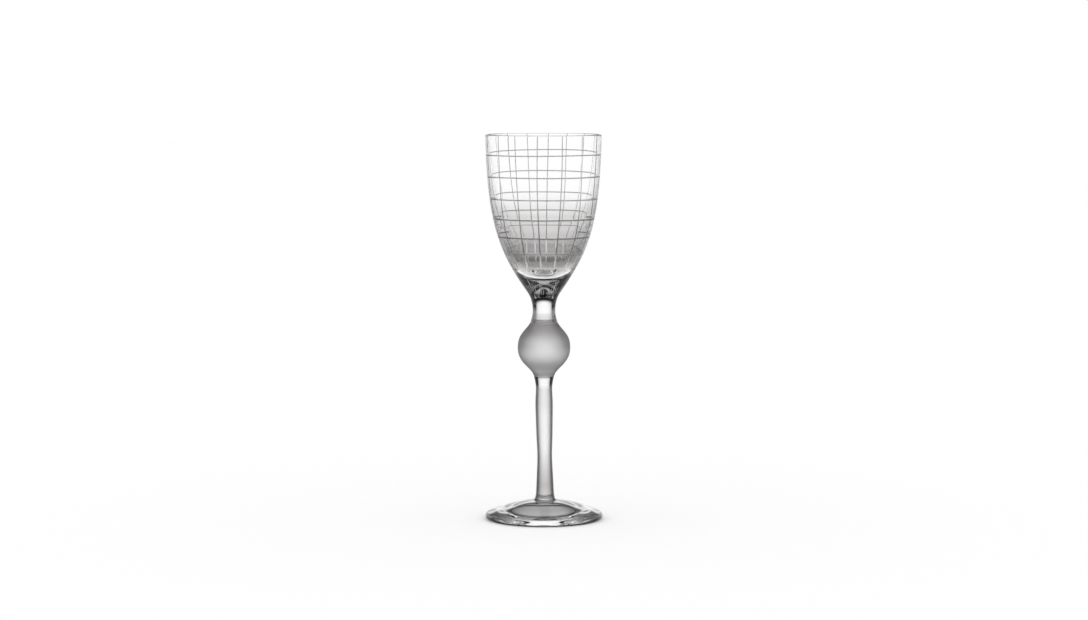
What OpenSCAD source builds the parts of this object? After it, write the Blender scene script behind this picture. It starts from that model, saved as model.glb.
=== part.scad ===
// Cordial glass: a small stemmed glass with a cut bowl, a frosted knop and a spread foot.
// Millimetres, +Z up. The origin is on the table, under the middle of the foot.
// The pieces are worked hot and fused end to end: foot, stem, knop, neck, bowl.

/* [Foot] */
// Diameter of the foot at its widest
foot_d = 50.4; // [44:0.2:60]
// Height of the foot at its middle, where the stem is stuck on
foot_h = 8; // [6.5:0.1:10]
// Thickness of the rolled edge
foot_edge = 3; // [2:0.1:4]
// Slope of the foot's top where it meets the edge, in degrees
foot_slope = 21; // [10:1:30]
// How far in from the edge the foot's resting ring ends and its hollow begins
foot_rest_in = 3.2; // [2.4:0.1:6]
// Rise of the hollow under the foot
foot_hollow = 4.6; // [2:0.1:5]

/* [Stem] */
// Length of the stem between the foot and the knop
stem_l = 53.6; // [35:0.2:80]
// Diameter where the stem spreads onto the foot
stem_base_d = 9.8; // [8:0.1:12]
// Diameter just above that spread
stem_ankle_d = 8; // [6.5:0.1:9]
// Diameter between the ankle and the waist
stem_calf_d = 7.1; // [6:0.05:9]
// Diameter at the waist, the thinnest place
stem_waist_d = 6.35; // [5:0.05:8]
// Diameter at the swell, above the middle
stem_swell_d = 7.5; // [6:0.05:9]
// Diameter at the throat, just under the knop
stem_throat_d = 7.05; // [6:0.05:9]
// Diameter where the stem meets the knop
stem_top_d = 8.65; // [7:0.05:11]

/* [Knop] */
// Height of the knop
knop_h = 23; // [20:0.2:28]
// Diameter of the knop at its middle
knop_d = 22.5; // [18:0.1:27]

/* [Neck] */
// Height of the neck between the knop and the bowl
neck_h = 12.4; // [9:0.2:18]
// Diameter where the neck meets the knop
neck_low_d = 11.7; // [10.5:0.1:14]
// Diameter at the neck's narrowest place
neck_waist_d = 9.7; // [8:0.1:10]
// Diameter where the neck meets the bowl
neck_top_d = 13.4; // [11:0.1:16]

/* [Bowl] */
// Height of the bowl from the neck to the rim
bowl_h = 68; // [55:0.5:85]
// Outer diameter of the bowl at the rim
rim_d = 49.7; // [42:0.1:58]
// Thickness of the fire-polished rim
rim_wall = 0.85; // [0.7:0.05:1.2]
// Solid glass under the hollow of the bowl
base_h = 9.2; // [8:0.1:12]

/* [Cutting] */
// Number of rings cut round the bowl
ring_count = 7; // [0:1:7]
// Number of lines cut down the bowl
line_count = 16; // [0:1:16]
// Width of a cut at the surface
cut_w = 0.42; // [0.3:0.02:0.6]
// Depth of a cut
cut_depth = 0.14; // [0.08:0.01:0.2]

/* [Hidden] */
// Every piece is fused to the next, and none of them moves

// Facets round the axis, and straight steps along one curve of an outline
$fn = 96;
steps = 14;
// Straight steps between two stations of the stem, and of the bowl's hollow
stem_steps = 5;
hollow_steps = 3;
// How far a cut starts outside the surface that it cuts
overrun = 0.5;

foot_r = foot_d / 2;
edge_r = foot_edge / 2;
ring_r = foot_r - foot_rest_in;
rim_r = rim_d / 2;
rim_lip = rim_wall / 2;
neck_top_r = neck_top_d / 2;
stem_base_r = stem_base_d / 2;

stem_z = foot_h;
knop_z = stem_z + stem_l;
neck_z = knop_z + knop_h;
bowl_z = neck_z + neck_h;

// Stations of the bowl's hollow, from its bottom to the lip, as shares across and up:
// a flat bottom, a narrow cup over the thick base, and a wall that thins towards the rim
hollow_shares = [
    [0, 0], [0.042, 0], [0.158, 0.01], [0.254, 0.031], [0.342, 0.062], [0.408, 0.099],
    [0.467, 0.151], [0.529, 0.202], [0.612, 0.26], [0.7, 0.331], [0.762, 0.391],
    [0.838, 0.493], [0.904, 0.63], [0.954, 0.785], [0.986, 0.92], [1, 1]
];
// Curves bend towards two pulls. Each pull is a pair of shares: across, then up
bowl_shares = [[0.707, 0.272], [0.951, 0.427]];
// The hollow under the foot is bell-shaped. Its second share counts downwards
bell_shares = [[0.59, 0], [0.57, 0.957]];
knop_low_shares = [[0.15, 0.32], [1, 0.43]];
knop_high_shares = [[0, 0.54], [0.56, 0.63]];
neck_low_shares = [[0.4, 0.33], [1, 0.6]];
neck_high_shares = [[0, 0.33], [0.25, 0.68]];
// Slope of the foot's top where the stem is stuck on, as a share
foot_slope_share = 0.06;
// Height of the knop's widest place, as a share of its height
knop_mid_share = 0.535;
// Height of the neck's waist, as a share of the neck
neck_waist_share = 0.41;
// Heights of the stem's named diameters, as shares of its length
ankle_share = 0.04;
calf_share = 0.18;
waist_share = 0.36;
thigh_share = 0.52;
swell_share = 0.77;
throat_share = 0.91;
// Heights of the cut rings above the neck, as shares of the bowl
ring_shares = [0.874, 0.738, 0.6, 0.474, 0.359, 0.257, 0.165];
// Turn of each cut line away from even spacing, in degrees, as the hand-held cutter left it
line_drift = [0, 0, -0.5, -0.5, 1, 2, 3, 4, 5, 4, 3, 1, 0, 0, -1.5, -1];
// Where the first cut line stands, in degrees from +X
first_line = -163;

// A point between a and b, at a pair of shares of the way across and up
function pull(a, b, share) = [a.x + (b.x - a.x) * share.x, a.y + (b.y - a.y) * share.y];

// A smooth curve from a to b that leaves towards pa and arrives from pb
function bend(a, pa, pb, b) = [
    for (i = [0 : steps])
        let (t = i / steps, s = 1 - t)
        s * s * s * a + 3 * s * s * t * pa + 3 * s * t * t * pb + t * t * t * b
];

// The same curve, with its two pulls as shares of the way from a to b
function curve(a, b, shares) = bend(a, pull(a, b, shares[0]), pull(a, b, shares[1]), b);

// A round stretch about a centre, from one angle to another
function arc(centre, r, from, to) = [
    for (i = [0 : steps]) let (a = from + (to - from) * i / steps) centre + r * [cos(a), sin(a)]
];

// A smooth curve through every station, with level ends
function slope_at(p, i) = (p[min(i + 1, len(p) - 1)] - p[max(i - 1, 0)]) / 2;
function through(p, count) = [
    for (i = [0 : len(p) - 2], j = [0 : count - 1])
        let (t = j / count, t2 = t * t, t3 = t2 * t)
        (2 * t3 - 3 * t2 + 1) * p[i] + (t3 - 2 * t2 + t) * slope_at(p, i)
        + (3 * t2 - 2 * t3) * p[i + 1] + (t3 - t2) * slope_at(p, i + 1),
    p[len(p) - 1]
];

// A solid of revolution whose outline runs from the axis, or from a flat end, to the axis
module turned(outline) {
    rotate_extrude() polygon(outline);
}

// The spread foot: a dome on top, a rolled edge, a ring to rest on and a bell-shaped hollow
function foot_edge_arc() = arc([foot_r - edge_r, edge_r], edge_r, -90, 90 - foot_slope);
function foot_dome() =
    let (
        hub = [stem_base_r, foot_h],
        edge = foot_edge_arc()[steps],
        run = (edge.x - hub.x) / 3
    )
    bend(edge, edge + run * [-1, tan(foot_slope)], hub + run * [1, -foot_slope_share], hub);

// The hollow under the foot, from its top on the axis down to the resting ring
function foot_bell() = curve([0, foot_hollow], [ring_r, 0], bell_shares);

module foot() {
    color("white", 0.35)
        turned(concat(foot_bell(), foot_edge_arc(), foot_dome(), [[0, foot_h]]));
}

// The drawn stem, from its spread base to the throat under the knop
function stem_stations() = [
    [stem_base_r, 0],
    [stem_ankle_d / 2, stem_l * ankle_share],
    [stem_calf_d / 2, stem_l * calf_share],
    [stem_waist_d / 2, stem_l * waist_share],
    [(stem_waist_d + stem_swell_d) / 4, stem_l * thigh_share],
    [stem_swell_d / 2, stem_l * swell_share],
    [stem_throat_d / 2, stem_l * throat_share],
    [stem_top_d / 2, stem_l]
];

module stem() {
    color("white", 0.35)
        translate([0, 0, stem_z])
        turned(concat([[0, 0]], through(stem_stations(), stem_steps), [[0, stem_l]]));
}

// The knop: a round ball that flows into the stem below and the neck above
function knop_outline() =
    let (
        low = [stem_top_d / 2, 0],
        mid = [knop_d / 2, knop_h * knop_mid_share],
        top = [neck_low_d / 2, knop_h]
    )
    concat(curve(low, mid, knop_low_shares), curve(mid, top, knop_high_shares));

module knop() {
    color("gainsboro")
        translate([0, 0, knop_z])
        turned(concat([[0, 0]], knop_outline(), [[0, knop_h]]));
}

// The neck, drawn in between the knop and the bowl
function neck_outline() =
    let (
        low = [neck_low_d / 2, 0],
        waist = [neck_waist_d / 2, neck_h * neck_waist_share],
        top = [neck_top_r, neck_h]
    )
    concat(curve(low, waist, neck_low_shares), curve(waist, top, neck_high_shares));

module neck() {
    color("white", 0.35)
        translate([0, 0, neck_z])
        turned(concat([[0, 0]], neck_outline(), [[0, neck_h]]));
}

// The bowl's outside, from the neck to the rim
function bowl_outside() = curve([neck_top_r, 0], [rim_r, bowl_h - rim_lip], bowl_shares);

// The bowl's hollow, from its flat bottom up to the rim
function bowl_inside() =
    let (low = [0, base_h], top = [rim_r - rim_wall, bowl_h - rim_lip])
    through([for (share = hollow_shares) pull(low, top, share)], hollow_steps);

// The outside's radius at a height, read off between the two nearest points
function radius_at(z) = lookup(z, [for (p = bowl_outside()) [p.y, p.x]]);

module bowl_blank() {
    inside = bowl_inside();
    turned(concat(
        [[0, 0]],
        bowl_outside(),
        arc([rim_r - rim_lip, bowl_h - rim_lip], rim_lip, 0, 180),
        [for (i = [len(inside) - 1 : -1 : 0]) inside[i]]
    ));
}

// A ring cut with a V-edged wheel, at one height
module ring_cut(z) {
    r = radius_at(z);
    half = cut_w / 2 * (1 + overrun / cut_depth);
    rotate_extrude() polygon([[r - cut_depth, z], [r + overrun, z - half], [r + overrun, z + half]]);
}

// A line cut with a thin wheel, from past the rim down to the lowest ring.
// Its floor follows the outside, one cut's depth below it
function inwards(along) = [-along.y, along.x] / norm(along);
function line_floor(end) =
    let (p = bowl_outside())
    [for (i = [1 : steps]) if (p[i].y > end) p[i] + cut_depth * inwards(p[i] - p[i - 1])];

module line_cut() {
    end = bowl_h * ring_shares[len(ring_shares) - 1];
    top = bowl_h + overrun;
    rotate([90, 0, 0])
        linear_extrude(cut_w, center = true)
        polygon(concat(
            [[radius_at(end), end]],
            line_floor(end),
            [[rim_r - cut_depth, top], [rim_r + overrun, top], [rim_r + overrun, end]]
        ));
}

module bowl() {
    color("white", 0.35)
        translate([0, 0, bowl_z])
        difference() {
            bowl_blank();
            for (i = [0 : 1 : ring_count - 1])
                ring_cut(bowl_h * ring_shares[i]);
            for (i = [0 : 1 : line_count - 1])
                rotate([0, 0, first_line + 360 / line_count * i + line_drift[i]])
                    line_cut();
        }
}

foot();
stem();
knop();
neck();
bowl();
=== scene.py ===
# %% [markdown]
# # A cordial glass
# A cordial glass is made hot, from five gathers of glass that are fused end to end: a spread foot, a drawn
# stem, a ball knop that is frosted afterwards, a short neck and a blown bowl. When it is cold, a wheel cuts a
# grid of fine lines into the bowl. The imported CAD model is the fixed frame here, and every surface below is
# worked out around it.

# %% The frame and the tools
import math

import bpy
import numpy as np
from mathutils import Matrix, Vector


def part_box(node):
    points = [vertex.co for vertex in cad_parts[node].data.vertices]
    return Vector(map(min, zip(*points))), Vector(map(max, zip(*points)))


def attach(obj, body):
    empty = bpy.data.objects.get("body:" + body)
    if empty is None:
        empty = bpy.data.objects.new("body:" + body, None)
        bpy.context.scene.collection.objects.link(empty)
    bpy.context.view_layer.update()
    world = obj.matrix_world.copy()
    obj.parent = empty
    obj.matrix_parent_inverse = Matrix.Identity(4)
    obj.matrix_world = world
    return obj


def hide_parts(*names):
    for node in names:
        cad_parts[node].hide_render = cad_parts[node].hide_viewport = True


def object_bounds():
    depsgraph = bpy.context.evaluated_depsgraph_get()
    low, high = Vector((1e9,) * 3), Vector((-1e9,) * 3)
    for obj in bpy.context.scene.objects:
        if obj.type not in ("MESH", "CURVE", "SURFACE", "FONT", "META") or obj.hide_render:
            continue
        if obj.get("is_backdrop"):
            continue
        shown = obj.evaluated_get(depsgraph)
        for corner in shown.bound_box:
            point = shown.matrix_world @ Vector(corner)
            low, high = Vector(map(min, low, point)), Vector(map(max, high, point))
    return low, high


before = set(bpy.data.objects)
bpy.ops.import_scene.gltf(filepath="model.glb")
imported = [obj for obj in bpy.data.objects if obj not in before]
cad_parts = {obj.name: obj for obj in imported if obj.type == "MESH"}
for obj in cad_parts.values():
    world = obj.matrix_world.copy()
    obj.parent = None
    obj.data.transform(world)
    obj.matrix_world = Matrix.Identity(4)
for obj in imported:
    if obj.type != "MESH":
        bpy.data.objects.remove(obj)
cad_low, cad_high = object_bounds()
MM = 0.001
print("the CAD model stands", round(cad_high.z / MM, 1), "mm tall")

# %% [markdown]
# ## Sizes
# The heights of the joints and the widest diameters are read from the frame, so the finished pieces meet where
# the solids meet. The few radii in between are real sizes, written once. All lengths are in metres, and a
# millimetre has its own name to keep them readable.

# %% Heights and radii
NEAR_AXIS = 0.01 * MM


def node_size(node):
    """Lowest height, highest height and largest radius of a CAD node."""
    low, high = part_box(node)
    return low.z, high.z, (high.x - low.x) / 2


_, foot_top, foot_r = node_size("foot")
stem_low, stem_high, stem_base_r = node_size("stem")
knop_low, knop_high, knop_r = node_size("knop")
neck_low, neck_high, neck_top_r = node_size("neck")
bowl_low, rim_z, rim_r = node_size("bowl")

foot_edge = 3.0 * MM
foot_slope = math.radians(21)
foot_rest_r = foot_r - 3.2 * MM
foot_hollow = 4.6 * MM
stem_ankle_r = 4.0 * MM
stem_calf_r = 3.55 * MM
stem_waist_r = 3.175 * MM
stem_swell_r = 3.75 * MM
stem_throat_r = 3.525 * MM
stem_top_r = 4.325 * MM
knop_belly_share = 0.535
neck_low_r = 5.85 * MM
neck_waist_r = 4.85 * MM
neck_waist_share = 0.41
rim_wall = 0.85 * MM
base_glass = 9.2 * MM
print("joints at", [round(z / MM, 1) for z in (foot_top, stem_high, knop_high, neck_high)], "mm")

# %% [markdown]
# ## Curves for the outlines
# Each piece is turned about one axis, so its shape is one outline of radius against height. Three kinds of
# curve draw all of them: one that bends towards two pulls, which a glassblower's shapes follow well, one that
# passes through stations, for the drawn stem and the hollow of the bowl, and a round stretch for the edges.
# Pulls and stations are mostly given as shares of the way across and up, so they keep their place when a
# size changes.

# %% A bend between two points
def bend(start, pull_a, pull_b, end, count):
    """A cubic curve from start to end that leaves towards pull_a and arrives from pull_b."""
    t = np.linspace(0, 1, count)[:, None]
    s = 1 - t
    start, pull_a, pull_b, end = (np.array(p, float) for p in (start, pull_a, pull_b, end))
    return s**3 * start + 3 * s * s * t * pull_a + 3 * s * t * t * pull_b + t**3 * end


def between(a, b, share):
    """A point that lies the given shares of the way across and up from a to b."""
    return [a[0] + (b[0] - a[0]) * share[0], a[1] + (b[1] - a[1]) * share[1]]


def sweep(low, top, pulls, count):
    """A bend from low to top, with its two pulls given as shares of the way across and up."""
    return bend(low, between(low, top, pulls[0]), between(low, top, pulls[1]), top, count)


print("halfway along, a bend over a unit square is at", sweep([0, 0], [1, 1], ((0, 0.5), (0.5, 1)), 3)[1])

# %% A curve through stations, and an arc
def through(stations, count):
    """A smooth curve through every station: between two of them, position and slope blend by cubics."""
    p = np.array(stations, float)
    slope = (p[np.minimum(np.arange(len(p)) + 1, len(p) - 1)] - p[np.maximum(np.arange(len(p)) - 1, 0)]) / 2
    t = (np.arange(count) / count)[None, :, None]
    a, b, slope_a, slope_b = p[:-1, None], p[1:, None], slope[:-1, None], slope[1:, None]
    curve = (2 * t**3 - 3 * t**2 + 1) * a + (t**3 - 2 * t**2 + t) * slope_a
    curve = curve + (3 * t**2 - 2 * t**3) * b + (t**3 - t**2) * slope_b
    return np.vstack([curve.reshape(-1, 2), p[-1:]])


def arc(centre, radius, start, end, count):
    """A round stretch about a centre, between two angles in degrees."""
    a = np.radians(np.linspace(start, end, count))
    return np.array(centre) + radius * np.stack([np.cos(a), np.sin(a)], 1)


print("a quarter of a unit circle ends at", arc([0, 0], 1, 0, 90, 3)[-1].round(3))

# %% [markdown]
# ## A lean that a hand leaves
# Glass that is worked hot and freehand is never quite straight. The middle line of this one steps a little to
# the right over the dome of the foot, comes back along the stem, and drifts to the left in the bowl. Every
# piece is carried along that line, so the pieces still meet.

# %% The middle line
FOOT_LEAN = 0.42 * MM
BOWL_LEAN = 0.22 * MM


def rise(z, start, end):
    """0 below start, 1 above end, and half a cosine wave between them."""
    return 0.5 - 0.5 * np.cos(np.pi * np.clip((z - start) / (end - start), 0, 1))


def lean(z):
    """How far to the right the middle line stands at a height."""
    stem_part = FOOT_LEAN * (rise(z, foot_edge, foot_top) - rise(z, foot_top, knop_low))
    return stem_part - BOWL_LEAN * rise(z, knop_high, rim_z)


print("at the rim the middle line stands", round(float(-lean(rim_z)) / MM, 2), "mm to the left")

# %% [markdown]
# ## From an outline to a closed skin
# A skin is a grid: one row for each point of the outline, and one column for each step round the axis. Where an
# outline ends on the axis the last row closes on one point. Where it ends in the open, the piece is fused to
# the next one, so a flat disc closes it. The disc is sharp-edged and has its own material slot, because in
# real fused glass there is nothing to see there. The hollow of the bowl has a third slot.

# %% Carrying an outline round the axis
AROUND = 256
GLASS, JOINT, HOLLOW = 0, 1, 2


def spin(outline):
    """Carries the outline round the axis: x = r sin(a), y = -r cos(a), z = height, then adds the lean."""
    a = np.linspace(0, 2 * np.pi, AROUND, endpoint=False)
    r, z = outline[:, 0:1], outline[:, 1:2]
    flat = np.ones_like(a)[None, :]
    return np.stack([r * np.sin(a) + lean(z), -r * np.cos(a), z * flat], 2)


print("a turned piece has", AROUND, "columns")

# %% Slots and sharp edges
def face_slots(rows_of_quads, columns, bottom_joint, top_joint, hollow_rows):
    """The slot of every face: the rows of quads, then the fan that closes the bottom, then the one on top."""
    walls = np.full((rows_of_quads, columns), GLASS, np.int32)
    top = JOINT if top_joint else GLASS
    if hollow_rows:
        walls[-hollow_rows:] = HOLLOW
        top = HOLLOW
    under = np.full(columns, JOINT if bottom_joint else GLASS, np.int32)
    return np.concatenate([walls.ravel(), under, np.full(columns, top, np.int32)])


def sharpen_joints(mesh, rows, columns, bottom_joint, top_joint):
    """Marks the edges that run round a fused end: both of their corners lie in the first or the last row."""
    corners = np.empty(len(mesh.edges) * 2, np.int32)
    mesh.edges.foreach_get("vertices", corners)
    row = corners.reshape(-1, 2) // columns
    ends = (bottom_joint & (row[:, 0] == 0)) | (top_joint & (row[:, 0] == rows - 1))
    mesh.edges.foreach_set("use_edge_sharp", (row[:, 0] == row[:, 1]) & ends)


print("the slots are", {"glass": GLASS, "joint": JOINT, "hollow": HOLLOW})

# %% The closed mesh
def skin(name, grid, bottom_joint, top_joint, hollow_rows=0):
    """Makes a closed mesh from rows of points, with a point or a flat disc at each end."""
    rows, columns, _ = grid.shape
    index = np.arange(rows * columns).reshape(rows, columns)
    right = np.roll(index, -1, axis=1)
    ends = np.stack([grid[0].mean(0), grid[-1].mean(0)])
    low, high = rows * columns, rows * columns + 1
    quads = np.stack([index[:-1], right[:-1], right[1:], index[1:]], 2).reshape(-1, 4)
    under = np.stack([np.full(columns, low), right[0], index[0]], 1)
    over = np.stack([np.full(columns, high), index[-1], right[-1]], 1)
    mesh = bpy.data.meshes.new(name)
    mesh.from_pydata(np.vstack([grid.reshape(-1, 3), ends]), [],
                     quads.tolist() + under.tolist() + over.tolist())
    mesh.polygons.foreach_set("material_index",
                              face_slots(rows - 1, columns, bottom_joint, top_joint, hollow_rows))
    mesh.polygons.foreach_set("use_smooth", np.ones(len(mesh.polygons), bool))
    sharpen_joints(mesh, rows, columns, bottom_joint, top_joint)
    mesh.update()
    piece = bpy.data.objects.new(name, mesh)
    bpy.context.scene.collection.objects.link(piece)
    print(name, "has", len(quads) * 2 + 2 * columns, "triangles")
    return piece


# %% [markdown]
# ## Shader maths as plain expressions
# A node tree is easier to read when it is written as maths. This small class wraps one socket, so that an
# expression such as 1 - mask * 0.3 adds the Math nodes that it needs. Every other node comes from its one
# method called node, which sets a node's own settings before it fills the sockets.

# %% The wrapped socket
def grey(tone):
    """A grey with the faint warmth of lead crystal: t red, t (0.96 + 0.04 t) green, t (0.955 + 0.045 t) blue."""
    return tone, tone * (0.96 + 0.04 * tone), tone * (0.955 + 0.045 * tone), 1.0


class Wire:
    """One output socket of a node tree, with Python's operators for shader maths."""

    def __init__(self, tree, socket):
        self.tree, self.socket = tree, socket

    @classmethod
    def node(cls, tree, kind, settings=None, inputs=None, output=0):
        """Adds a node: its settings first, then the values or links of its sockets. Returns one output."""
        made = tree.nodes.new(kind)
        for key, value in (settings or {}).items():
            if key == "stops":
                while len(made.color_ramp.elements) < len(value):
                    made.color_ramp.elements.new(1.0)
                for stop, (place, tone) in zip(made.color_ramp.elements, value):
                    stop.position = place
                    stop.color = grey(tone)
            else:
                setattr(made, key, value)
        for key, value in (inputs or {}).items():
            if isinstance(value, cls):
                tree.links.new(value.socket, made.inputs[key])
            else:
                made.inputs[key].default_value = value
        return cls(tree, made.outputs[output]) if made.outputs else None

    def maths(self, operation, a, b):
        """A Math node on two values, each a wire or a number."""
        return self.node(self.tree, "ShaderNodeMath", {"operation": operation}, {0: a, 1: b})

    def __add__(self, other):
        return self.maths("ADD", self, other)

    def __sub__(self, other):
        return self.maths("SUBTRACT", self, other)

    def __rsub__(self, other):
        return self.maths("SUBTRACT", other, self)

    def __mul__(self, other):
        return self.maths("MULTIPLY", self, other)

    __radd__ = __add__
    __rmul__ = __mul__

    def over(self, limit):
        """1 where the value is over the limit, and 0 elsewhere."""
        return self.maths("GREATER_THAN", self, limit)

    def at_most(self, limit):
        """The value, or the limit where the value is over it."""
        return self.maths("MINIMUM", self, limit)


node = Wire.node
print("a half tone of grey is", grey(0.5)[:3])

# %% [markdown]
# ## Nodes that come often
# Two colours are mixed, a ramp of greys is read, and two things about the surface are measured: how far it
# turns away from the eye, and how high it is. The height is a share of the whole glass, because a ramp runs
# from 0 to 1.

# %% Short names for the nodes that come often
MIX_SHARE, MIX_FIRST, MIX_SECOND, MIX_RESULT = 0, 6, 7, 2


def blend(tree, share, first, second, kind="MIX"):
    """Mixes two colours: all first at share 0, all second at 1. Of kind MULTIPLY, it multiplies them."""
    return node(tree, "ShaderNodeMix", {"data_type": "RGBA", "blend_type": kind},
                {MIX_SHARE: share, MIX_FIRST: first, MIX_SECOND: second}, MIX_RESULT)


def ramp(tree, stops, place):
    """Grey tones between stops of (place, tone)."""
    return node(tree, "ShaderNodeValToRGB", {"stops": stops}, {"Fac": place})


def facing_away(tree):
    """0 where the surface faces the eye and 1 where it is seen edge-on: 1 - cos(angle) at a Blend of 0.5."""
    return node(tree, "ShaderNodeLayerWeight", {}, {"Blend": 0.5}, "Facing")


def place_on_glass(tree):
    """The place on the object, and the height as a share of the whole glass."""
    place = node(tree, "ShaderNodeTexCoord", {}, {}, "Object")
    return place, node(tree, "ShaderNodeSeparateXYZ", {}, {"Vector": place}, "Z") * (1 / rim_z)


def by_height(stops):
    """Turns heights in millimetres into shares of the glass's height."""
    return [(z * MM / rim_z, tone) for z, tone in stops]


print("the knop ends at", round(by_height([(knop_high / MM, 1)])[0][0], 3), "of the height")

# %% Starting and ending a material
def new_material(name):
    """An empty material and its tree."""
    material = bpy.data.materials.new(name)
    material.use_nodes = True
    material.node_tree.nodes.clear()
    return material, material.node_tree


def finish_material(material, shader):
    """Joins a shader to the material's output."""
    node(material.node_tree, "ShaderNodeOutputMaterial", {}, {"Surface": shader})
    print("material", material.name, "has", len(material.node_tree.nodes), "nodes")
    return material


# %% [markdown]
# ## Clear crystal
# Clear glass has hardly any colour of its own. What draws it is its edge: where the surface turns away from the
# eye it bends the light round to the dark parts of the room, so a lit stem has a pale core and dark sides. A
# photographer makes these sides with black cards beside the glass. Cards would stand in the way of every other
# view, so here a grey tint is painted into the glass instead, as painted shade. It follows how far the surface
# turns away from the eye, and each stretch of the glass has its own tones, because a thick base, a thin wall and
# a drawn rod bend the light differently. The stretches are layers: each one has tones from face-on (0) to
# edge-on (1), and a reach that says how much of it shows at each height in millimetres. A painted shade by
# height then
# darkens whole heights: greys low on the stem and the bowl, the dark cap over the neck and a dark band under the
# knop. The specular tint is low, so that the head-on reflections inside the thick base don't wash it out.

# %% Tones of the clear glass
GLASS_IOR = 1.52
GLINT = 0.2
RIPPLE_SCALE = 60.0
RIPPLE_HEIGHT = 0.02 * MM

# painted shade for the drawn stem, with soft grey sides, and for upright stretches such as the neck, with hard
# dark ones
DRAWN = [(0, 0.93), (0.035, 0.84), (0.083, 0.74), (0.15, 0.52), (0.2, 0.38), (0.3, 0.14), (0.4, 0.03), (1, 0)]
UPRIGHT = [(0, 1), (0.09, 0.9), (0.2, 0.52), (0.25, 0.1), (0.3, 0), (1, 0)]
# painted shade on the thick base of the bowl, from the dark cap over the neck to the shoulder under the hollow
CAP = [(0, 1), (0.05, 1), (0.14, 0.35), (0.22, 0.02), (1, 0)]
STEEP = [(0, 1), (0.31, 1), (0.34, 0.2), (0.37, 0.02), (0.4, 0), (1, 0)]
SLOPED = [(0, 1), (0.38, 1), (0.42, 0.6), (0.46, 0.05), (0.5, 0), (1, 0)]
SHOULDER = [(0, 1), (0.28, 0.8), (0.33, 0.1), (0.37, 0), (1, 0)]
# painted shade on the wall of the bowl: round the bottom of the hollow, over it, and up to the rim
LENS = [(0, 0.3), (0.2, 0.3), (0.3, 0.4), (0.42, 0.75), (0.5, 1), (0.62, 1), (0.75, 0.4), (1, 0.1)]
LOWER = [(0, 1), (0.25, 0.9), (0.4, 0.5), (0.55, 0.22), (0.8, 0.06), (1, 0.04)]
WALL = [(0, 1), (0.4, 1), (0.6, 0.8), (0.75, 0.4), (0.9, 0.15), (1, 0.1)]
# painted shade on the rolled edge of the foot
EDGE = [(0, 1), (0.12, 1), (0.25, 0.4), (0.38, 0.05), (0.5, 0), (1, 0)]

FOOT_LAYERS = [(EDGE, [(2, 1), (2.8, 0.85), (3.5, 0)])]
STEM_LAYERS = [(DRAWN, [(0, 1), (58, 1), (59, 0)]),
               (UPRIGHT, [(56, 0), (58, 1)])]
BOWL_LAYERS = [(UPRIGHT, [(84.6, 0.85), (88, 0.85), (91, 1), (96, 1), (98.5, 0)]),
               (CAP, [(92.5, 0), (94.5, 1), (96.5, 1), (97.5, 0)]),
               (STEEP, [(95, 0), (96.5, 1), (103, 1), (103.5, 0)]),
               (SLOPED, [(102, 0), (103, 1), (105.6, 1), (106.6, 0)]),
               (SHOULDER, [(102.6, 0), (103.2, 1), (104.3, 1), (104.8, 0)]),
               (LENS, [(107.8, 0), (109.2, 1), (113, 1), (115, 0)]),
               (LOWER, [(112.5, 0), (115, 0.9), (124, 0.8), (132, 0)]),
               (WALL, [(105.6, 0), (106.6, 1), (108.5, 1), (110, 0), (120, 0), (127, 1), (140, 0.95),
                       (152, 0.8), (165, 0.5)])]
# painted shade by height: darker low on the stem, a little darker near its top, and nearly black at the joint
# under the knop
STEM_PAINTED_SHADE = [(8, 0.9), (11, 0.82), (14, 0.6), (20, 0.73), (26, 0.88), (31, 1), (44, 1), (50, 0.91), (56, 0.92),
              (58, 1), (61, 1), (61.5, 0.03)]
# painted shade: the top of the neck is nearly black, the dark cap over the neck
NECK_PAINTED_SHADE = [(95, 1), (95.6, 0.45), (96.1, 0.03), (97, 0.03)]
# painted shade: nearly black at the bottom of the bowl over the neck, and grey on the lower bowl up to about 140
# mm
BOWL_PAINTED_SHADE = [(97.2, 0.04), (98, 0.6), (98.6, 0.9), (104, 1), (106.8, 1), (107.8, 0.62), (109.3, 0.44),
              (112.5, 0.52), (114, 0.47), (116, 0.57), (118.5, 0.76), (121, 0.76), (131, 0.82), (134, 0.87),
              (138, 0.97), (142, 1)]
print("the bowl's tones have", len(BOWL_LAYERS), "layers")

# %% [markdown]
# ## Cuts in the crystal
# A cutting wheel leaves a matt groove. Matt glass scatters the light, so a cut looks grey against a bright
# ground and pale against a dark one. An attribute on the bowl says how deep a point lies in a cut, and both the
# roughness and the tint follow it. The matt groove is real, and its tint is painted light and shade by height:
# painted nearly black up the bowl, and painted pale low on the bowl, over the grey base.

# %% The clear material
CUT_ROUGH = 0.45
# painted tone of the cuts by height: pale below 113 mm, nearly black above 115 mm
CUT_TONES = [(0, 1), (113, 1), (115, 0.02), (165, 0.02)]


def crystal(tree, inputs):
    """Smooth refracting glass with a low glint, and what one piece of it adds or changes."""
    return node(tree, "ShaderNodeBsdfPrincipled", {}, {
        "Transmission Weight": 1.0, "IOR": GLASS_IOR, "Roughness": 0.0,
        "Specular Tint": (GLINT, GLINT, GLINT, 1), **inputs})


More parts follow.
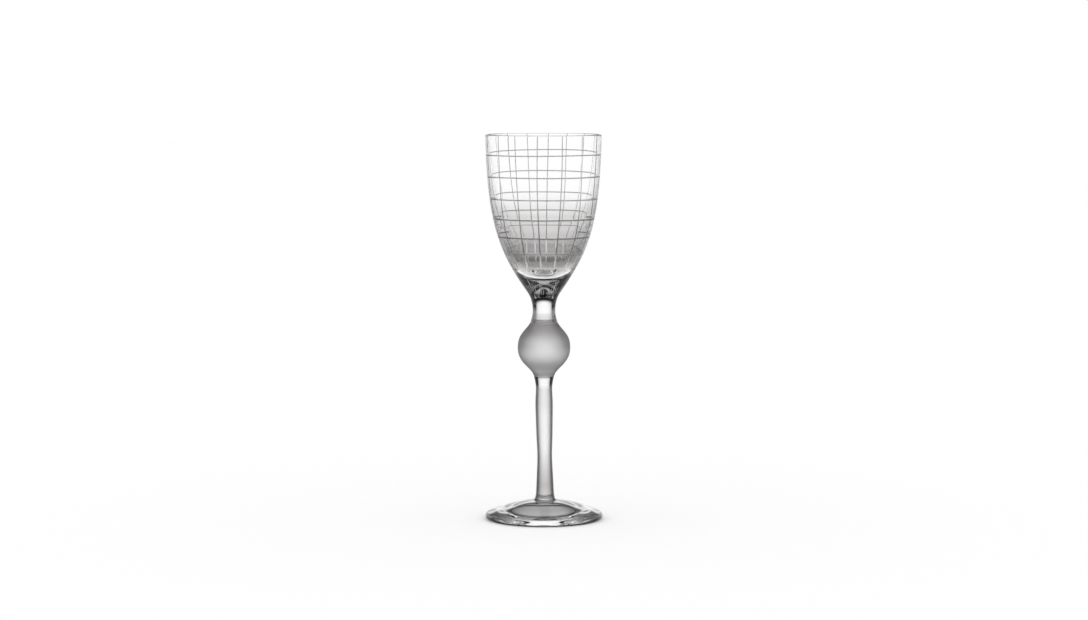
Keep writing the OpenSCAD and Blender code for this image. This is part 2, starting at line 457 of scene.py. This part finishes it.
def clear_glass(name, layers, shade=None, ripple=0.0, cuts=False):
    """Crystal with painted shade from layers of (tones, reach) and from a shade by height, with a ripple or
    cuts.
    """
    material, tree = new_material(name)
    place, height = place_on_glass(tree)
    facing = facing_away(tree)
    tint = (1, 1, 1, 1)
    # painted shade: each layer darkens the glass as it turns away from the eye
    for tones, reach in layers:
        tint = blend(tree, ramp(tree, by_height(reach), height), tint, ramp(tree, tones, facing))
    # painted shade that darkens whole heights
    if shade:
        tint = blend(tree, 1.0, tint, ramp(tree, by_height(shade), height), "MULTIPLY")
    inputs = {"Base Color": tint}
    if ripple:
        noise = node(tree, "ShaderNodeTexNoise", {}, {"Vector": place, "Scale": RIPPLE_SCALE, "Detail": 1.0})
        inputs["Normal"] = node(tree, "ShaderNodeBump", {},
                                {"Height": noise, "Strength": 1.0, "Distance": ripple})
    if cuts:
        cut = node(tree, "ShaderNodeAttribute", {"attribute_name": "cut"}, {}, "Fac")
        inputs["Roughness"] = cut * CUT_ROUGH
        # the cuts take a painted tone by height: pale low on the bowl, nearly black above
        inputs["Base Color"] = blend(tree, cut, tint, ramp(tree, by_height(CUT_TONES), height))
    return finish_material(material, crystal(tree, inputs))


def untinted_glass(name):
    """Crystal without a tint."""
    material, tree = new_material(name)
    return finish_material(material, crystal(tree, {"Base Color": (1, 1, 1, 1)}))


stem_glass = clear_glass("stem_crystal", STEM_LAYERS, STEM_PAINTED_SHADE, ripple=RIPPLE_HEIGHT)
neck_glass = clear_glass("neck_crystal", BOWL_LAYERS, NECK_PAINTED_SHADE)
foot_glass = clear_glass("foot_crystal", FOOT_LAYERS, ripple=RIPPLE_HEIGHT)
bowl_glass = clear_glass("bowl_crystal", BOWL_LAYERS, BOWL_PAINTED_SHADE, cuts=True)
# the hollow has no painted shade, because light that crosses the wall has passed the shaded outside already
hollow_glass = untinted_glass("hollow_crystal")

# %% [markdown]
# ## Frosted crystal
# The knop was dipped in acid or blasted with fine grit, so light goes through it but is scattered on the way.
# The same glass with a rough surface gives that satin, a part of the light that is thrown straight back keeps
# it from looking wet, and a very fine bump gives its grain. Its tint is painted shade, darker towards the edge
# as on the clear glass, and painted light makes the lower half paler, where it faces the white table.

# %% The frosted material
FROST_ROUGH, FROST_ROUGH_SPREAD = 0.5, 0.1
FROST_CLEAR = 0.85
GRAIN_SCALE = 6000.0
GRAIN_HEIGHT, GRAIN_STRENGTH = 0.01 * MM, 0.3
# painted shade: the frost darkens towards the edge; painted light: a paler set of tones on the lower half
FROST_PAINTED_SHADE = [(0, 0.81), (0.083, 0.62), (0.2, 0.45), (0.4, 0.22), (0.7, 0.14), (1, 0.12)]
FROST_PAINTED_LIGHT = [(0, 1), (0.3, 0.86), (0.45, 0.7), (0.6, 0.42), (0.8, 0.2), (1, 0.12)]
PAINTED_LIGHT_REACH = [(61.6, 0), (62.8, 0.2), (64, 1), (69, 0.95), (75, 0), (83.5, 0), (84.6, 0.1)]


def frosted_glass(name):
    """Rough, partly diffuse glass with a fine grain, painted shade towards the edges and painted light on its
    lower half.
    """
    material, tree = new_material(name)
    place, height = place_on_glass(tree)
    facing = facing_away(tree)
    grain = node(tree, "ShaderNodeTexNoise", {}, {"Vector": place, "Scale": GRAIN_SCALE, "Detail": 2.0})
    # painted light on the lower half, mixed by height over painted shade towards the edges
    tint = blend(tree, ramp(tree, by_height(PAINTED_LIGHT_REACH), height), ramp(tree, FROST_PAINTED_SHADE, facing),
                 ramp(tree, FROST_PAINTED_LIGHT, facing))
    bump = node(tree, "ShaderNodeBump", {},
                {"Height": grain, "Strength": GRAIN_STRENGTH, "Distance": GRAIN_HEIGHT})
    return finish_material(material, node(tree, "ShaderNodeBsdfPrincipled", {}, {
        "Transmission Weight": FROST_CLEAR, "IOR": GLASS_IOR,
        "Roughness": FROST_ROUGH + grain * FROST_ROUGH_SPREAD, "Base Color": tint, "Normal": bump}))


frost = frosted_glass("knop_frost")

# %% [markdown]
# ## Fused joints
# Two pieces of glass that were fused have no surface between them. The discs that close each piece there let
# light straight through.

# %% The joint material, and dressing a piece
def fused_joint():
    """A surface that isn't there."""
    material, tree = new_material("fused_joint")
    return finish_material(material, node(tree, "ShaderNodeBsdfPrincipled", {}, {"Alpha": 0.0, "IOR": 1.0}))


joint = fused_joint()


def dress(piece, material, cad_node, inner=None):
    """Gives a piece its materials, in the order of its slots, and ties it to the frame."""
    for each in (material, joint, inner):
        if each:
            piece.data.materials.append(each)
    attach(piece, "root")
    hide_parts(cad_node)


# %% [markdown]
# ## The foot
# The foot is a small gather that is pressed flat and spread while it turns, so its top falls away in a dome, its
# edge is rolled, and its underside is left hollow like a shallow bell. It rests on a narrow ring. One outline
# draws all of it, from the middle of the hollow round the edge to the hub under the stem.

# %% The foot
BELL_PULLS = (0.59, 0), (0.57, 0.957)
BELL_POINTS, EDGE_POINTS, DOME_POINTS = 80, 40, 64
HUB_FALL = 0.06


def foot_outline():
    """Down the bell-shaped hollow, round the rolled edge, and over the dome to the stem."""
    hollow = sweep([NEAR_AXIS, foot_hollow], [foot_rest_r, 0], BELL_PULLS, BELL_POINTS)
    edge_r = foot_edge / 2
    edge = arc([foot_r - edge_r, edge_r], edge_r, -90, 90 - math.degrees(foot_slope), EDGE_POINTS)
    hub = [stem_base_r, foot_top]
    run = (edge[-1][0] - stem_base_r) / 3
    leave = edge[-1] + run * np.array([-1, math.tan(foot_slope)])
    dome = bend(edge[-1], leave, [hub[0] + run, hub[1] - HUB_FALL * run], hub, DOME_POINTS)
    return np.vstack([hollow, edge, dome[1:]])


dress(skin("foot_disc", spin(foot_outline()), False, True), foot_glass, "foot")

# %% [markdown]
# ## The stem
# A drawn stem keeps the marks of the drawing: it spreads where it was stuck to the foot, thins to a waist,
# swells again, draws in at the throat and flares into the knop. A smooth curve through named radii keeps each
# of these.

# %% The stem
STEM_SHARES = [0, 0.04, 0.18, 0.36, 0.52, 0.77, 0.91, 1]
STEM_POINTS = 24


def stem_outline():
    """Through the stem's named radii, at shares of its length."""
    length = stem_high - stem_low
    radii = [stem_base_r, stem_ankle_r, stem_calf_r, stem_waist_r, (stem_waist_r + stem_swell_r) / 2,
             stem_swell_r, stem_throat_r, stem_top_r]
    return through([[r, stem_low + length * share] for r, share in zip(radii, STEM_SHARES)], STEM_POINTS)


dress(skin("drawn_stem", spin(stem_outline()), True, True), stem_glass, "stem")

# %% [markdown]
# ## The knop
# The knop is a solid ball that was shaped with a wet block. It flows into the stem and the neck without an
# edge, so it is not a sphere: one bend runs out to the belly, and one runs in again.

# %% The knop
KNOP_LOWER_PULLS = (0.15, 0.32), (1, 0.43)
KNOP_UPPER_PULLS = (0, 0.54), (0.56, 0.63)
KNOP_POINTS = 64


def knop_outline():
    """Out to the widest place and in again, in two bends."""
    belly = [knop_r, knop_low + (knop_high - knop_low) * knop_belly_share]
    lower = sweep([stem_top_r, knop_low], belly, KNOP_LOWER_PULLS, KNOP_POINTS)
    upper = sweep(belly, [neck_low_r, knop_high], KNOP_UPPER_PULLS, KNOP_POINTS)
    return np.vstack([lower, upper[1:]])


dress(skin("ball_knop", spin(knop_outline()), True, True), frost, "knop")

# %% [markdown]
# ## The neck
# The neck is drawn in between the knop and the bowl. It stays clear, so it shows the light like a lens. Its
# material has the bowl's layers of painted shade without the cuts, because the same glass runs on into the base
# of the bowl, and a painted shade of its own darkens the top of the neck nearly to black.

# %% The neck
NECK_LOWER_PULLS = (0.4, 0.33), (1, 0.6)
NECK_UPPER_PULLS = (0, 0.33), (0.25, 0.68)
NECK_POINTS = 48


def neck_outline():
    """In to the waist and out again, in two bends."""
    waist = [neck_waist_r, neck_low + (neck_high - neck_low) * neck_waist_share]
    lower = sweep([neck_low_r, neck_low], waist, NECK_LOWER_PULLS, NECK_POINTS)
    upper = sweep(waist, [neck_top_r, neck_high], NECK_UPPER_PULLS, NECK_POINTS)
    return np.vstack([lower, upper[1:]])


dress(skin("neck_piece", spin(neck_outline()), True, True), neck_glass, "neck")

# %% [markdown]
# ## The outline of the bowl
# The bowl is blown thin at the rim and left thick at the base. Its outside is one bend from the neck to the
# rim. Its hollow passes through stations, because glass that is left thick at the base pools there: the bottom
# of the hollow is nearly flat, the corner is round, and the wall thins slowly up to the lip.

# %% The outside and the hollow
LIP_R = rim_wall / 2
OUTSIDE_PULLS = (0.707, 0.272), (0.951, 0.427)
OUTSIDE_POINTS, HOLLOW_POINTS = 2000, 9
HOLLOW_SHARES = [(0, 0), (0.042, 0), (0.158, 0.01), (0.254, 0.031), (0.342, 0.062), (0.408, 0.099),
                 (0.467, 0.151), (0.529, 0.202), (0.612, 0.26), (0.7, 0.331), (0.762, 0.391), (0.838, 0.493),
                 (0.904, 0.63), (0.954, 0.785), (0.986, 0.92), (1, 1)]


def outside_curve():
    """From the neck to the foot of the lip."""
    return sweep([neck_top_r, bowl_low], [rim_r, rim_z - LIP_R], OUTSIDE_PULLS, OUTSIDE_POINTS)


def hollow_curve():
    """From the bottom of the hollow to the foot of the lip, through shares of the way across and up."""
    low, top = [0, bowl_low + base_glass], [rim_r - rim_wall, rim_z - LIP_R]
    curve = through([between(low, top, share) for share in HOLLOW_SHARES], HOLLOW_POINTS)
    curve[0, 0] = NEAR_AXIS
    return curve


outside, inside = outside_curve(), hollow_curve()
along = np.concatenate([[0], np.cumsum(np.hypot(*np.diff(outside, axis=0).T))])
skin_length = along[-1]
print("the bowl's outside is", round(skin_length / MM, 1), "mm along its curve")

# %% [markdown]
# ## Where the cuts run
# Seven rings and sixteen lines are cut by hand and by eye, so no two gaps are alike. The rings tilt and wave by
# about a tenth of a millimetre, and the lines sway a little on their way up. The low rings are the widest, and
# the lines get finer towards the rim too.

# %% Places and widths of the cuts
CUT_DEPTH = 0.10 * MM
RING_SHARES = np.array([0.165, 0.257, 0.359, 0.474, 0.6, 0.738, 0.874])
RING_HALF = np.array([0.4, 0.52, 0.38, 0.38, 0.27, 0.27, 0.27]) * MM
RING_TILT, RING_WAVE = 0.10 * MM, 0.05 * MM
LINE_TURNS = np.radians([-73, -50.6, -28.4, -5.9, 18.1, 41.6, 65.1, 88.5, 112, 133.7, 154.8, 175.5, 197, 219.3,
                         240.6, 263.5])
LINE_HALF = [(115, 0.36), (125, 0.34), (137, 0.24)]
LINE_SWAY, LINE_SWAY_LENGTH, LINE_SWAY_STEP = 0.25 * MM, 11 * MM, 2.1
LINE_FADE = 0.4 * MM


def ring_places(turn):
    """Place of each ring along the outside, for every column: level, plus a slow tilt and a quicker wave."""
    level = np.interp(bowl_low + (rim_z - bowl_low) * RING_SHARES, outside[:, 1], along)
    k = np.arange(len(RING_SHARES))[:, None]
    return level[:, None] + (RING_TILT * np.sin(turn + k) + RING_WAVE * np.sin(3 * turn + 2 * k))


print("there are", len(RING_SHARES), "rings and", len(LINE_TURNS), "lines")

# %% [markdown]
# ## A mesh that follows the cuts
# A groove 0.5 to 1 mm wide needs points every tenth of a millimetre, and the glass between the cuts needs few.
# So the rows and columns of the skin crowd together across every ring and line, and take even steps in between.
# The cuts are then real geometry: the surface is pushed in along its normal by the depth of the cut.

# %% Rows and columns
CROWD_HALF = 0.5 * MM
ACROSS = np.array([-1, -0.7, -0.45, -0.22, 0, 0.22, 0.45, 0.7, 1]) * CROWD_HALF
MID_R = 20 * MM
# a little more than the crowd, so that rounding leaves none of its columns out
CROWD_SPARE = 1.05
STEPS_BETWEEN_LINES, STEPS_BETWEEN_RINGS, ROWS_BELOW, ROWS_ABOVE = 12, 8, 24, 12


def spread(marks, count):
    """Places that crowd across each mark and take even steps to the next one. The last mark only ends them."""
    parts = []
    for here, after in zip(marks[:-1], marks[1:]):
        t = (np.arange(1, count) / count)[:, None]
        parts += [here + ACROSS[:, None], (here + ACROSS[-1]) * (1 - t) + (after + ACROSS[0]) * t]
    return np.vstack(parts)


def columns_round():
    """The turn of each column. The crowds keep their width in millimetres at the radius MID_R."""
    lines = np.append(LINE_TURNS, LINE_TURNS[0] + 2 * np.pi)
    return spread((lines * MID_R)[:, None], STEPS_BETWEEN_LINES)[:, 0] / MID_R


def rows_along(rings):
    """The place of each row along the outside: even below the rings, crowded across them, even up to the lip."""
    below = np.linspace(0, 1, ROWS_BELOW)[:-1, None] * (rings[0] + ACROSS[0])
    last = rings[-1] + ACROSS[:, None]
    t = np.linspace(0, 1, ROWS_ABOVE)[1:, None]
    return np.vstack([below, spread(rings, STEPS_BETWEEN_RINGS), last, last[-1] * (1 - t) + skin_length * t])


def cut_shares(s, z, off, rings):
    """How deep each point lies in a cut, from 0 to 1: 1 - (distance / half width)^2 for lines and rings."""
    half = np.interp(z / MM, *zip(*LINE_HALF)) * MM
    lines = (1 - np.clip(np.abs(off) / half, 0, 1) ** 2) * rise(s, rings[0] - LINE_FADE, rings[0])
    across_rings = np.min(np.abs(s[None] - rings[:, None]) / RING_HALF[:, None, None], axis=0)
    return np.maximum(lines, 1 - np.clip(across_rings, 0, 1) ** 2)


print("the bowl has", len(columns_round()), "columns")

# %% [markdown]
# ## The bowl
# The grid of the outside, a half round lip and the rows of the hollow make one closed skin. How deep each
# point lies in a cut goes with it as an attribute, so that the material is matt in the grooves and nowhere
# else. The lowest ring was polished, so it has its groove but stays clear.

# %% The bowl
LIP_STEPS = 14


def half_turn(angle):
    """The same angle, brought between minus and plus half a turn."""
    return (angle + np.pi) % (2 * np.pi) - np.pi


def outside_grid():
    """Radius, height, turn and cut share for every point of the outside, with the cuts pressed in."""
    turn = columns_round()
    rings = ring_places(turn)
    s = rows_along(rings)
    r, z = np.interp(s, along, outside[:, 0]), np.interp(s, along, outside[:, 1])
    # each column near a line keeps its distance from it in millimetres, at every height
    nearest = np.abs(half_turn(turn[:, None] - LINE_TURNS)).argmin(1)
    off = half_turn(turn - LINE_TURNS[nearest]) * MID_R
    near_line = np.abs(off) <= CROWD_HALF * CROWD_SPARE
    angle = np.where(near_line, LINE_TURNS[nearest] + off / r, turn)
    angle = angle + LINE_SWAY * np.sin(LINE_SWAY_STEP * nearest + s / LINE_SWAY_LENGTH) / r
    cut = cut_shares(s, z, off, rings)
    normal_r = np.interp(s, along, np.gradient(outside[:, 1], along))
    normal_z = -np.interp(s, along, np.gradient(outside[:, 0], along))
    polished = np.clip(np.abs(s - rings[0]) / CROWD_HALF, 0, 1)
    return r - cut * CUT_DEPTH * normal_r, z - cut * CUT_DEPTH * normal_z, angle, cut * polished


def bowl_grid():
    """The outside, then the lip and the hollow down to its bottom, which take the last row's turns."""
    r, z, angle, cut = outside_grid()
    lip = arc([rim_r - LIP_R, rim_z - LIP_R], LIP_R, 0, 180, LIP_STEPS)[1:-1]
    top = np.vstack([lip, inside[::-1][:-1]])
    flat = np.ones_like(angle[:1])
    r = np.vstack([r, top[:, 0:1] * flat])
    z = np.vstack([z, top[:, 1:2] * flat])
    angle = np.vstack([angle, np.repeat(angle[-1:], len(top), 0)])
    cut = np.vstack([cut, 0 * top[:, 0:1] * flat])
    return np.stack([r * np.sin(angle) + lean(z), -r * np.cos(angle), z], 2), cut


grid, cut = bowl_grid()
bowl = skin("cut_bowl", grid, True, False, len(inside) - 1)
mark = bowl.data.attributes.new("cut", "FLOAT", "POINT")
mark.data.foreach_set("value", np.append(cut.ravel(), [0, 0]))
dress(bowl, bowl_glass, "bowl", hollow_glass)

# %% [markdown]
# ## The floor
# The glass stands on a plain pale floor. It is white where it is seen at a low angle, as the camera sees it,
# and a pale grey from above. The grey is painted shade: it darkens the floor where the thick glass shows it
# steeply.

# %% The floor
# painted shade: the floor greys as it is seen from higher above
FLOOR_TONES = [(0, 0.72), (0.5, 0.76), (0.65, 0.83), (0.76, 0.88), (0.81, 1), (1, 1)]
FLOOR_HALF = 6.0
FLOOR_DROP = 0.02 * MM


def floor_material():
    """White at a low angle, and a painted shade of pale grey from above."""
    material, tree = new_material("white_floor")
    return finish_material(material, node(tree, "ShaderNodeBsdfDiffuse", {}, {
        "Color": ramp(tree, FLOOR_TONES, facing_away(tree))}))


mesh = bpy.data.meshes.new("floor")
corner = FLOOR_HALF * np.array([[-1, -1, 0], [1, -1, 0], [1, 1, 0], [-1, 1, 0]]) - [0, 0, FLOOR_DROP]
mesh.from_pydata(corner.tolist(), [], [[0, 1, 2, 3]])
floor = bpy.data.objects.new("floor", mesh)
bpy.context.scene.collection.objects.link(floor)
mesh.materials.append(floor_material())
floor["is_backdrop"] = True

# %% [markdown]
# ## The light
# Soft white light comes from the whole sky, at a strength of 1, so a colour renders about as it is written.
# What the camera sees, and what shows in and through the glass, is a second sky: white round the horizon, a
# dark band above it, a pale ring over that, and a dark ceiling. That is how a glass is lit to give it dark
# edges. Light that has left a matt surface counts as lighting, not as seeing, so it takes the plain white sky.

# %% The world
# tones by height, from the horizon (0) to straight up (1)
SKY_TONES = [(0, 1), (0.2, 1), (0.28, 0.6), (0.35, 0.03), (0.62, 0.03), (0.7, 0.5), (0.75, 0.6), (0.92, 0.6),
             (0.94, 0.02), (1, 0)]
world = bpy.data.worlds.new("studio")
bpy.context.scene.world = world
world.use_nodes = True
tree = world.node_tree
tree.nodes.clear()
toward = node(tree, "ShaderNodeTexCoord", {}, {}, "Generated")
up = node(tree, "ShaderNodeSeparateXYZ", {}, {"Vector": toward}, "Z")
camera_ray, glossy_ray, through_ray, diffuse_depth = (
    node(tree, "ShaderNodeLightPath", {}, {}, name)
    for name in ("Is Camera Ray", "Is Glossy Ray", "Is Transmission Ray", "Diffuse Depth"))
scattered = diffuse_depth.over(0.5)
seen = ((camera_ray + glossy_ray + through_ray) * (1 - scattered)).at_most(1.0)
light = blend(tree, seen, (1, 1, 1, 1), ramp(tree, SKY_TONES, up))
shine = node(tree, "ShaderNodeBackground", {}, {"Color": light})
node(tree, "ShaderNodeOutputWorld", {}, {"Surface": shine})
print("the world has", len(tree.nodes), "nodes")

# %% [markdown]
# ## The camera
# The photograph was taken from a little above the rim with a long lens, so the rim shows as a thin ellipse
# and the foot as a wider one. Light passes many surfaces in this glass, so the paths may be long.

# %% The camera
EYE_BACK, EYE_HEIGHT = 1.260, 0.1951
EYE_DOWN = math.radians(4.77)
LENS_LENGTH, FILM_WIDTH = 97.8, 36.0
LONG_PATH, GLOSSY_PATH = 32, 16
camera = bpy.data.cameras.new("camera")
camera.lens, camera.sensor_width = LENS_LENGTH, FILM_WIDTH
eye = bpy.data.objects.new("camera", camera)
eye.location = (0, -EYE_BACK, EYE_HEIGHT)
eye.rotation_euler = (math.pi / 2 - EYE_DOWN, 0, 0)
bpy.context.scene.collection.objects.link(eye)
bpy.context.scene.camera = eye

scene = bpy.context.scene
scene.view_settings.view_transform = "Standard"
scene.cycles.max_bounces = LONG_PATH
scene.cycles.glossy_bounces = GLOSSY_PATH
scene.cycles.transmission_bounces = LONG_PATH
scene.cycles.transparent_max_bounces = LONG_PATH
print("the camera stands", EYE_BACK, "m away")

# %% [markdown]
# ## The size of the finished glass
# The box of the finished pieces and the CAD model's box are printed and kept side by side. The finished
# pieces have to stay inside the CAD model's box.

# %% The size
new_low, new_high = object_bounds()
boxes = {"cad": [list(cad_low), list(cad_high)], "visual": [list(new_low), list(new_high)]}
print("CAD box", boxes["cad"])
print("visual box", boxes["visual"])
